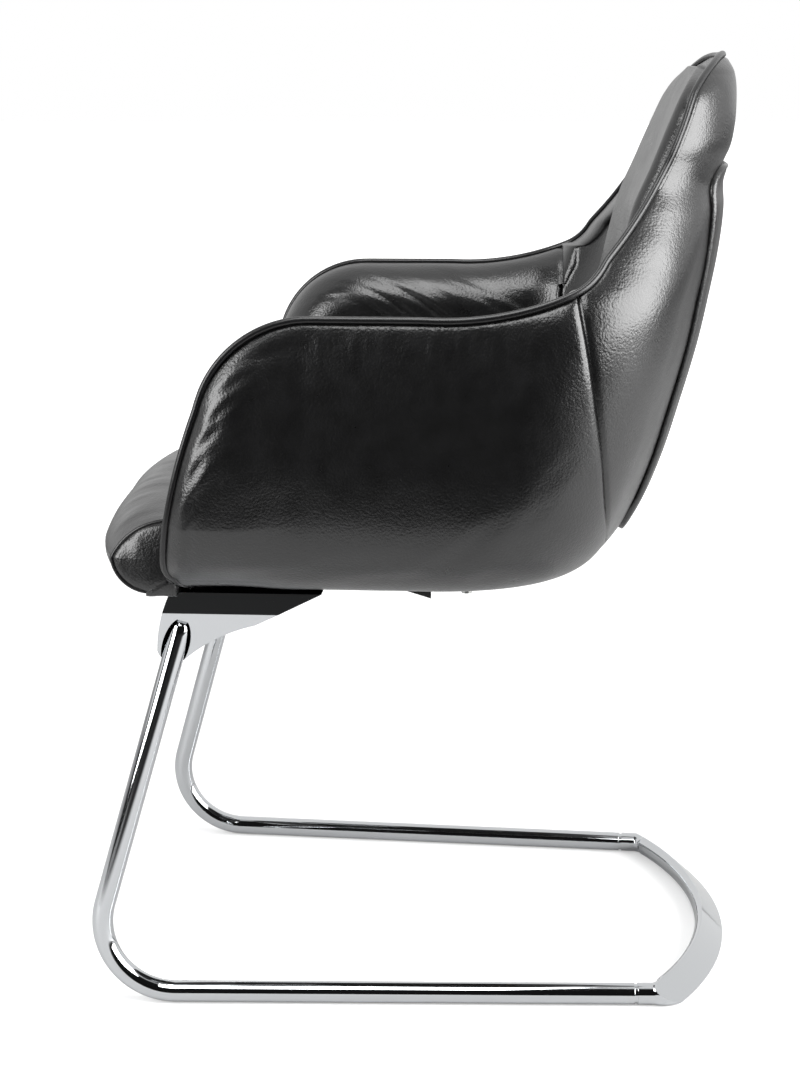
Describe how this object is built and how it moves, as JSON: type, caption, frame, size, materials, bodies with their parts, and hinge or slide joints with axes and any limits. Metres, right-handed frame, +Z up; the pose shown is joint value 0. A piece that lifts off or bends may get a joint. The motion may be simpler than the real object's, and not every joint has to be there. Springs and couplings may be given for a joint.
{
  "type": "cantilever lounge chair",
  "caption": "Upholstered bucket lounge chair on a bent chrome tube cantilever base, with low arms that sweep up into a high tapered back, and piped edges.",
  "frame": {"origin": "floor level, under the centre of the chair's bounding box", "axes": "+Z up, -Y the way the sitter faces, +X the sitter's left"},
  "size_m": [0.602, 0.6108, 0.8808],
  "materials": {
    "leather": "black grained leather, semi-gloss",
    "piping": "black smooth leather cord, glossy",
    "chrome": "polished chrome plate",
    "plywood": "raw birch plywood",
    "black_steel": "satin black paint",
    "bright_steel": "zinc plated",
    "black_cloth": "matt black cloth"
  },
  "bodies": {
    "root": {"arm_frame_left": "plywood", "arm_frame_right": "plywood", "arm_pad_left": "leather", "arm_pad_right": "leather", "back_board": "plywood", "back_cover": "leather", "back_cushion": "leather", "back_lining": "leather", "back_skin": "leather", "bracket_bolts": "bright_steel", "bracket_left": "chrome", "bracket_right": "chrome", "cross_beam": "black_steel", "dust_cover": "black_cloth", "edge_piping": "piping", "fixing_bolts": "bright_steel", "fixing_plate_left": "black_steel", "fixing_plate_right": "black_steel", "grub_screws": "bright_steel", "joint_ring_left": "chrome", "joint_ring_right": "chrome", "joint_spigot_left": "bright_steel", "joint_spigot_right": "bright_steel", "rear_bow": "chrome", "seam_tag": "black_cloth", "seat_board": "plywood", "seat_cushion": "leather", "seat_welt_left": "piping", "seat_welt_right": "piping", "side_panel_left": "leather", "side_panel_right": "leather", "side_tube_left": "chrome", "side_tube_right": "chrome", "tee_nuts": "bright_steel"}
  },
  "joints": []
}
